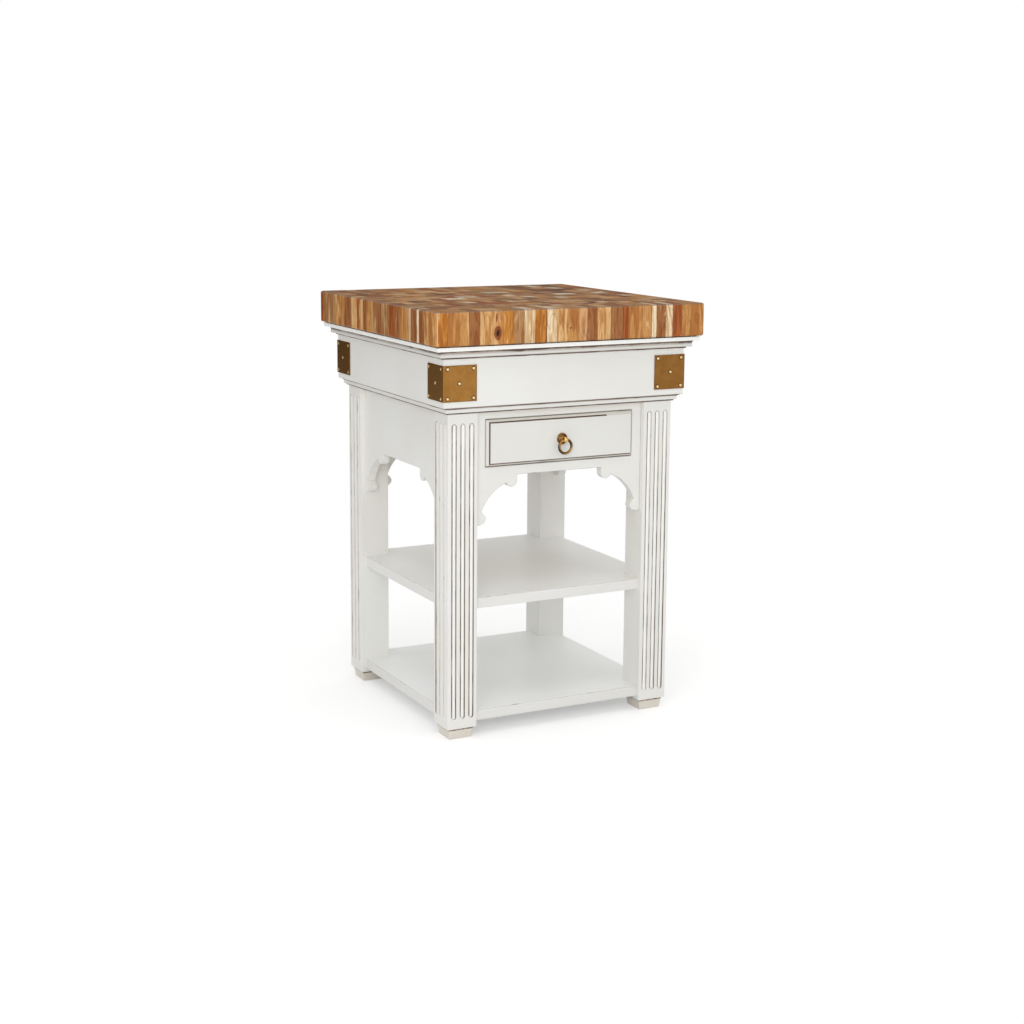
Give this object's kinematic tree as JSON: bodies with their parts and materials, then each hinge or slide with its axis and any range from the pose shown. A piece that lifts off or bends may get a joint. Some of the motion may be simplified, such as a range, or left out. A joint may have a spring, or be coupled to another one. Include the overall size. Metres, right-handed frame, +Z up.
{
  "type": "butcher block table",
  "caption": "Square kitchen table with an end-grain butcher block on a white painted frame, fluted legs, open shelves, scalloped aprons and a ring-pull drawer.",
  "frame": {"origin": "on the floor under the middle of the table", "axes": "+Z up, the drawer opens towards -Y, +X is to the right of someone who faces the drawer"},
  "size_m": [0.639, 0.639, 0.914],
  "materials": {
    "white_paint": "satin warm white paint over wood, lightly rubbed through, with brown glaze left in the flutes, mouldings and gaps",
    "end_grain_wood": "oiled hardwood blocks of mixed cream, tan, orange and brown, glued with the end grain up",
    "bare_wood": "unfinished light wood",
    "brass": "antique brass, brown toned, worn bright on the raised parts",
    "steel": "plain zinc plated steel"
  },
  "bodies": {
    "carcass": {"end_grain_block": "end_grain_wood", "cornice_front": "white_paint", "cornice_right": "white_paint", "cornice_back": "white_paint", "cornice_left": "white_paint", "frieze_front": "white_paint", "frieze_right": "white_paint", "frieze_back": "white_paint", "frieze_left": "white_paint", "base_moulding_front": "white_paint", "base_moulding_right": "white_paint", "base_moulding_back": "white_paint", "base_moulding_left": "white_paint", "top_rail_front": "bare_wood", "top_rail_right": "bare_wood", "top_rail_back": "bare_wood", "top_rail_left": "bare_wood", "apron_front": "white_paint", "apron_right": "white_paint", "apron_back": "white_paint", "apron_left": "white_paint", "leg_front_left": "white_paint", "leg_front_right": "white_paint", "leg_back_right": "white_paint", "leg_back_left": "white_paint", "foot_front_left": "white_paint", "foot_front_right": "white_paint", "foot_back_right": "white_paint", "foot_back_left": "white_paint", "corner_plate_front_left": "brass", "corner_plate_front_right": "brass", "corner_plate_back_right": "brass", "corner_plate_back_left": "brass", "middle_shelf": "white_paint", "bottom_shelf": "white_paint", "block_cleat_left": "bare_wood", "block_cleat_right": "bare_wood", "block_screw_front_left": "steel", "block_screw_front_right": "steel", "block_screw_back_right": "steel", "block_screw_back_left": "steel", "drawer_runner_left": "bare_wood", "drawer_runner_right": "bare_wood", "drawer_kicker_left": "bare_wood", "drawer_kicker_right": "bare_wood", "drawer_stop_left": "bare_wood", "drawer_stop_right": "bare_wood"},
    "drawer": {"drawer_front": "white_paint", "drawer_side_left": "bare_wood", "drawer_side_right": "bare_wood", "drawer_back": "bare_wood", "drawer_bottom": "bare_wood", "pull_rosette": "brass", "pull_knob": "brass", "pull_washer": "steel", "pull_nut": "steel"},
    "ring": {"pull_ring": "brass"}
  },
  "joints": [
    {"name": "drawer_slide", "type": "slide", "parent": "carcass", "child": "drawer", "axis": [0, -1, 0], "range_m": [0, 0.3]},
    {"name": "ring_swing", "type": "hinge", "parent": "drawer", "child": "ring", "pos_m": [0, -0.2818, 0.631], "axis": [-1, 0, 0], "range_deg": [-20, 200]}
  ]
}
